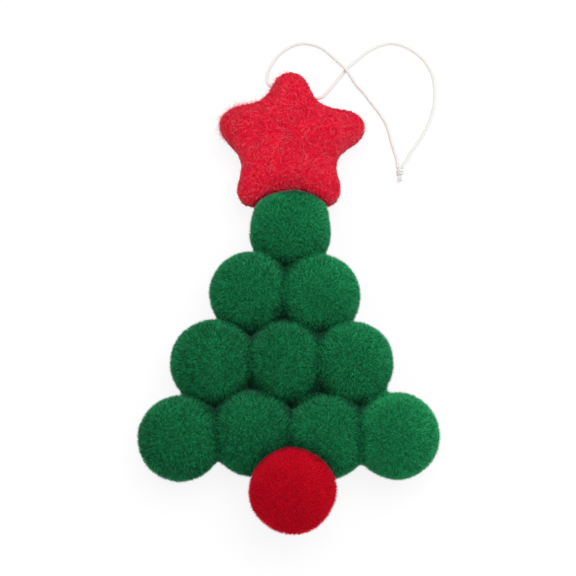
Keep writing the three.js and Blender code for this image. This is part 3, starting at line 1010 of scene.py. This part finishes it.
def knot_routes():
    """The turns of the knot: a wrap round two strands that come out below it as short tails"""
    turn = Matrix.Rotation(KNOT_TILT, 3, "X")
    wrap = []
    for step in range(WRAP_STEPS + 1):
        angle = 2 * math.pi * WRAP_TURNS * step / WRAP_STEPS
        down = WRAP_START - WRAP_LENGTH * step / WRAP_STEPS
        wrap.append(Vector((WRAP_RADIUS * math.cos(angle), down, WRAP_RADIUS * math.sin(angle))))
    routes = [wrap, *[[Vector(place) for place in tail] for tail in TAILS]]
    origin = LOOP_ORIGIN + KNOT_TOP
    return [
        smooth_route([origin + turn @ (place * MM) for place in route], KNOT_ROUTE_STEP)
        for route in routes
    ]


# Settings


def amount(name, description, default, unit="LENGTH"):
    """A setting for a length, or for a number in another unit"""
    return FloatProperty(name=name, description=description, default=default, unit=unit)


def tint(name, description, default):
    """A setting for a colour"""
    return FloatVectorProperty(name=name, description=description, subtype="COLOR", default=default)


class BallSettings(bpy.types.PropertyGroup):
    """Felt balls"""

    green: tint("Green", "Colour of the tree's felt", srgb(19, 135, 78))
    red: tint("Red", "Colour of the trunk's felt", srgb(230, 7, 36))
    lump_height: amount("Lumps", "How uneven the felt is", 0.34 * MM)
    pile_length: amount("Pile length", "How far the fibres stand out", 0.8 * MM)
    pile_width: amount("Pile width", "Thickness of a tuft of fibres", 0.17 * MM)
    pile_density: amount("Pile density", "Tufts per square metre", 1.8e7, "NONE")


class StarSettings(bpy.types.PropertyGroup):
    """Padded star"""

    red: tint("Red", "Colour of the star's felt", srgb(240, 8, 48))
    lump_height: amount("Lumps", "How uneven the felt is", 0.22 * MM)
    fuzz_depth: amount("Fuzz depth", "How far the felt lies below its fuzz", 0.6 * MM)
    seat_gap: amount("Seat gap", "Gap between the star and the top ball", 0.45 * MM)
    pile_length: amount("Pile length", "How far the fibres stand out", 0.7 * MM)
    pile_width: amount("Pile width", "Thickness of a tuft of fibres", 0.17 * MM)
    pile_density: amount("Pile density", "Tufts per square metre", 8.0e6, "NONE")
    strand_length: amount("Strand length", "Length of the long fibres", 1.4 * MM)
    strand_width: amount("Strand width", "Thickness of the long fibres", 0.11 * MM)
    strand_density: amount("Strand density", "Strands per square metre", 2.6e6, "NONE")
    wisp_length: amount("Wisp length", "Length of the loose fibres", 1.9 * MM)
    wisp_width: amount("Wisp width", "Thickness of the loose fibres", 0.05 * MM)
    wisp_density: amount("Wisp density", "Loose fibres per square metre", 2.6e6, "NONE")


class CordSettings(bpy.types.PropertyGroup):
    """Cord and glue"""

    white: tint("White", "Colour of the cord", srgb(224, 223, 219))
    left_length: amount("Left strand", "Length from the hole to the knot", 0.063)
    right_length: amount("Right strand", "Length from the hole to the knot", 0.069)
    glue: tint("Glue", "Colour of the set glue", srgb(214, 205, 178))


class StageSettings(bpy.types.PropertyGroup):
    """Light and camera"""

    camera_distance: amount("Camera distance", "From the middle of the balls", 0.4)
    camera_lean: amount(
        "Camera lean", "How far the view leans to the trunk end", math.radians(15.0), "ROTATION"
    )
    picture_width: amount("Picture width", "Width seen at the middle of the balls", 0.13824)
    key_power: amount("Key light", "Power of the soft lamp", 2.6, "POWER")
    sky: amount("Sky", "Strength of the light from all round", 0.82, "NONE")


# Operators


class FELTTREE_OT_stage(bpy.types.Operator):
    """Makes the camera, the lamp and the pale floor"""

    bl_idname = "felttree.stage"
    bl_label = "Stage"

    def execute(self, context):
        settings = context.scene.felttree_stage
        scene = context.scene
        scene.view_settings.view_transform = "Standard"
        camera = bpy.data.cameras.new("camera")
        camera.sensor_width = SENSOR_WIDTH
        camera.lens = SENSOR_WIDTH * settings.camera_distance / settings.picture_width
        camera.clip_start = 0.01
        holder = new_object("camera", camera)
        lean = Matrix.Rotation(settings.camera_lean, 3, "X")
        holder.location = PICTURE_MIDDLE + lean @ Vector((0.0, 0.0, settings.camera_distance))
        holder.rotation_euler = lean.to_euler()
        scene.camera = holder
        lamp = bpy.data.lights.new("key", "AREA")
        lamp.shape = "DISK"
        lamp.size = KEY_SIZE
        lamp.energy = settings.key_power
        key = new_object("key", lamp)
        key.location = KEY_PLACE
        key.rotation_euler = (-key.location).to_track_quat("-Z", "Y").to_euler()
        world = bpy.data.worlds.new("studio")
        scene.world = world
        world.use_nodes = True
        tree = world.node_tree
        strength = map_range(tree, self.seen_rays(tree), settings.sky, 1.0)
        white = (1.0, 1.0, 1.0, 1.0)
        set_inputs(tree, tree.nodes["Background"], {"Strength": strength, "Color": white})
        shape = bmesh.new()
        bmesh.ops.create_grid(shape, x_segments=1, y_segments=1, size=FLOOR_SIZE)
        floor = new_piece("floor", shape, self.floor_finish())
        return {"FINISHED"}

    def seen_rays(self, tree):
        """1 for what the camera sees, directly or through a shiny or clear surface"""
        path = place_node(tree, "ShaderNodeLightPath", {}, {}).outputs
        direct = math_node(tree, "MAXIMUM", path["Is Camera Ray"], path["Is Glossy Ray"])
        return math_node(tree, "MAXIMUM", direct, path["Is Transmission Ray"])

    def floor_finish(self):
        """White paper that keeps a faint shadow"""
        finish, tree, shader = new_finish("floor")
        set_inputs(tree, shader, {"Base Color": FLOOR_WHITE, "Roughness": 1.0, "Specular IOR Level": 0.0})
        glow = place_node(tree, "ShaderNodeEmission", {}, {"Strength": 1.0})
        share = map_range(tree, self.seen_rays(tree), 0.0, FLOOR_GLOW)
        mix = place_node(
            tree, "ShaderNodeMixShader", {},
            {0: share, 1: shader.outputs["BSDF"], 2: glow.outputs["Emission"]},
        )
        tree.links.new(mix.outputs[0], tree.nodes["Material Output"].inputs["Surface"])
        return finish


class FELTTREE_OT_cord(bpy.types.Operator):
    """Makes the hanging cord: two free strands, the stretch inside the star and the knot"""

    bl_idname = "felttree.cord"
    bl_label = "Cord"

    def execute(self, context):
        settings = context.scene.felttree_cord
        finish = cord_finish(tuple(settings.white))
        hole = LOOP_ORIGIN + HOLE_MIDDLE
        along = Vector((math.cos(HOLE_TILT), math.sin(HOLE_TILT), 0.0))
        mouth = along * (HOLE_LENGTH / 2)
        inside = smooth_route([hole - mouth, hole, hole + mouth], ROUTE_STEP)
        threaded = twisted_cord("threaded_cord", [inside], CORD_DIAMETER, finish)
        dress(threaded, "cord_through_star", LOOP)
        knot = twisted_cord("tied_knot", knot_routes(), KNOT_DIAMETER, finish)
        dress(knot, "cord_knot", LOOP)
        start = along * (HOLE_LENGTH / 2 + CORD_END_GAP)
        strands = [
            ("left", hole - start, LEFT_STRAND, settings.left_length),
            ("right", hole + start, RIGHT_STRAND, settings.right_length),
        ]
        for side, first, points, length in strands:
            places = [first, *[LOOP_ORIGIN + Vector(point) * MM for point in points]]
            route = smooth_route(places, ROUTE_STEP)
            strand = twisted_cord(f"{side}_strand", [route], CORD_DIAMETER, finish)
            dress(strand, f"cord_{side}_strand", LOOP)
        return {"FINISHED"}


class FELTTREE_OT_balls(bpy.types.Operator):
    """Makes the green felt balls and the red trunk ball"""

    bl_idname = "felttree.balls"
    bl_label = "Felt balls"

    def execute(self, context):
        settings = context.scene.felttree_balls
        tree = fibre_nodes()
        # Each felt: its tones, its painted root shade and tip highlight, how much its tips pale as a
        # painted highlight, and its sheen
        green_finish = felt_finish(
            "green_felt", felt_tones(settings.green, (0.22, 0.95, 1.5, 2.2), 0.025), (0.4, 1.5), 0.65,
            (0.12, 0.31, 0.25),
        )
        red_finish = felt_finish(
            "red_felt", felt_tones(settings.red, (0.1, 0.88, 1.04, 1.16), 0.014), (0.5, 1.3), 0.45,
            (0.15, 0.03, 0.07),
        )
        # The last of each ball's fibre tones is how strongly the painted shade darkens them
        for finish, balls, slot, tones in [
            (green_finish, GREEN_BALLS, "green_felt", (0.36, 1.7, 0.3, 0.5, 0.15)),
            (red_finish, [TRUNK], "red_felt", (0.6, 0.5, 0.3, 0.2, 0.5)),
        ]:
            tuft = fibre_shape("tuft", TUFT_RINGS, finish)
            for ball in balls:
                seed = list(BALLS).index(ball.name)
                piece = felt_ball(ball, seed, finish, tuft, tree, settings, tones)
                dress(piece, ball.name, TREE)
            bpy.data.objects.remove(tuft)
        return {"FINISHED"}


class FELTTREE_OT_star(bpy.types.Operator):
    """Makes the padded red star"""

    bl_idname = "felttree.star"
    bl_label = "Star"

    def execute(self, context):
        settings = context.scene.felttree_star
        # Its tones, its painted root shade and tip highlight, how much its tips pale as a painted
        # highlight, and its sheen
        finish = felt_finish(
            "star_felt", felt_tones(settings.red, (0.35, 0.97, 1.07, 1.1), 0.15), (0.8, 1.1), 0.05,
            (0.8, 0.1, 0.2),
        )
        tuft = fibre_shape("tuft", TUFT_RINGS, finish)
        strand = fibre_shape("strand", STRAND_RINGS, finish)
        piece = felt_star(finish, tuft, strand, bpy.data.node_groups["Felt fibres"], settings)
        dress(piece, "star", TREE)
        bpy.data.objects.remove(tuft)
        bpy.data.objects.remove(strand)
        return {"FINISHED"}


class FELTTREE_OT_glue(bpy.types.Operator):
    """Makes the dabs of set glue between the felt pieces"""

    bl_idname = "felttree.glue"
    bl_label = "Glue dabs"

    def execute(self, context):
        finish = glue_finish(tuple(context.scene.felttree_cord.glue))
        names = [name for name in sorted(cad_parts) if name.startswith("glue_")]
        for seed, name in enumerate(names):
            dress(glue_dab(name, seed, finish), name, TREE)
        return {"FINISHED"}


class FELTTREE_PT_panel(bpy.types.Panel):
    """Lists the settings and the buttons that make the pieces"""

    bl_label = "Felt Tree"
    bl_space_type = "VIEW_3D"
    bl_region_type = "UI"
    bl_category = "Felt Tree"

    def draw(self, context):
        scene = context.scene
        for settings, operators in [
            (scene.felttree_stage, ["felttree.stage"]),
            (scene.felttree_cord, ["felttree.cord", "felttree.glue"]),
            (scene.felttree_balls, ["felttree.balls"]),
            (scene.felttree_star, ["felttree.star"]),
        ]:
            box = self.layout.box()
            for name in settings.__annotations__:
                box.prop(settings, name)
            for operator in operators:
                box.operator(operator)


SETTINGS = {
    "felttree_balls": BallSettings, "felttree_star": StarSettings,
    "felttree_cord": CordSettings, "felttree_stage": StageSettings,
}
CLASSES = (
    *SETTINGS.values(), FELTTREE_OT_stage, FELTTREE_OT_cord, FELTTREE_OT_balls, FELTTREE_OT_star,
    FELTTREE_OT_glue, FELTTREE_PT_panel,
)


def register():
    """Registers the classes and the settings"""
    for kind in CLASSES:
        bpy.utils.register_class(kind)
    for name, kind in SETTINGS.items():
        setattr(bpy.types.Scene, name, PointerProperty(type=kind))


def unregister():
    """Removes the settings and the classes"""
    for name in SETTINGS:
        delattr(bpy.types.Scene, name)
    for kind in reversed(CLASSES):
        bpy.utils.unregister_class(kind)


def main():
    """Makes every piece in order"""
    register()
    bpy.ops.felttree.stage()
    bpy.ops.felttree.cord()
    bpy.ops.felttree.balls()
    bpy.ops.felttree.star()
    bpy.ops.felttree.glue()


if __name__ == "__main__":
    main()
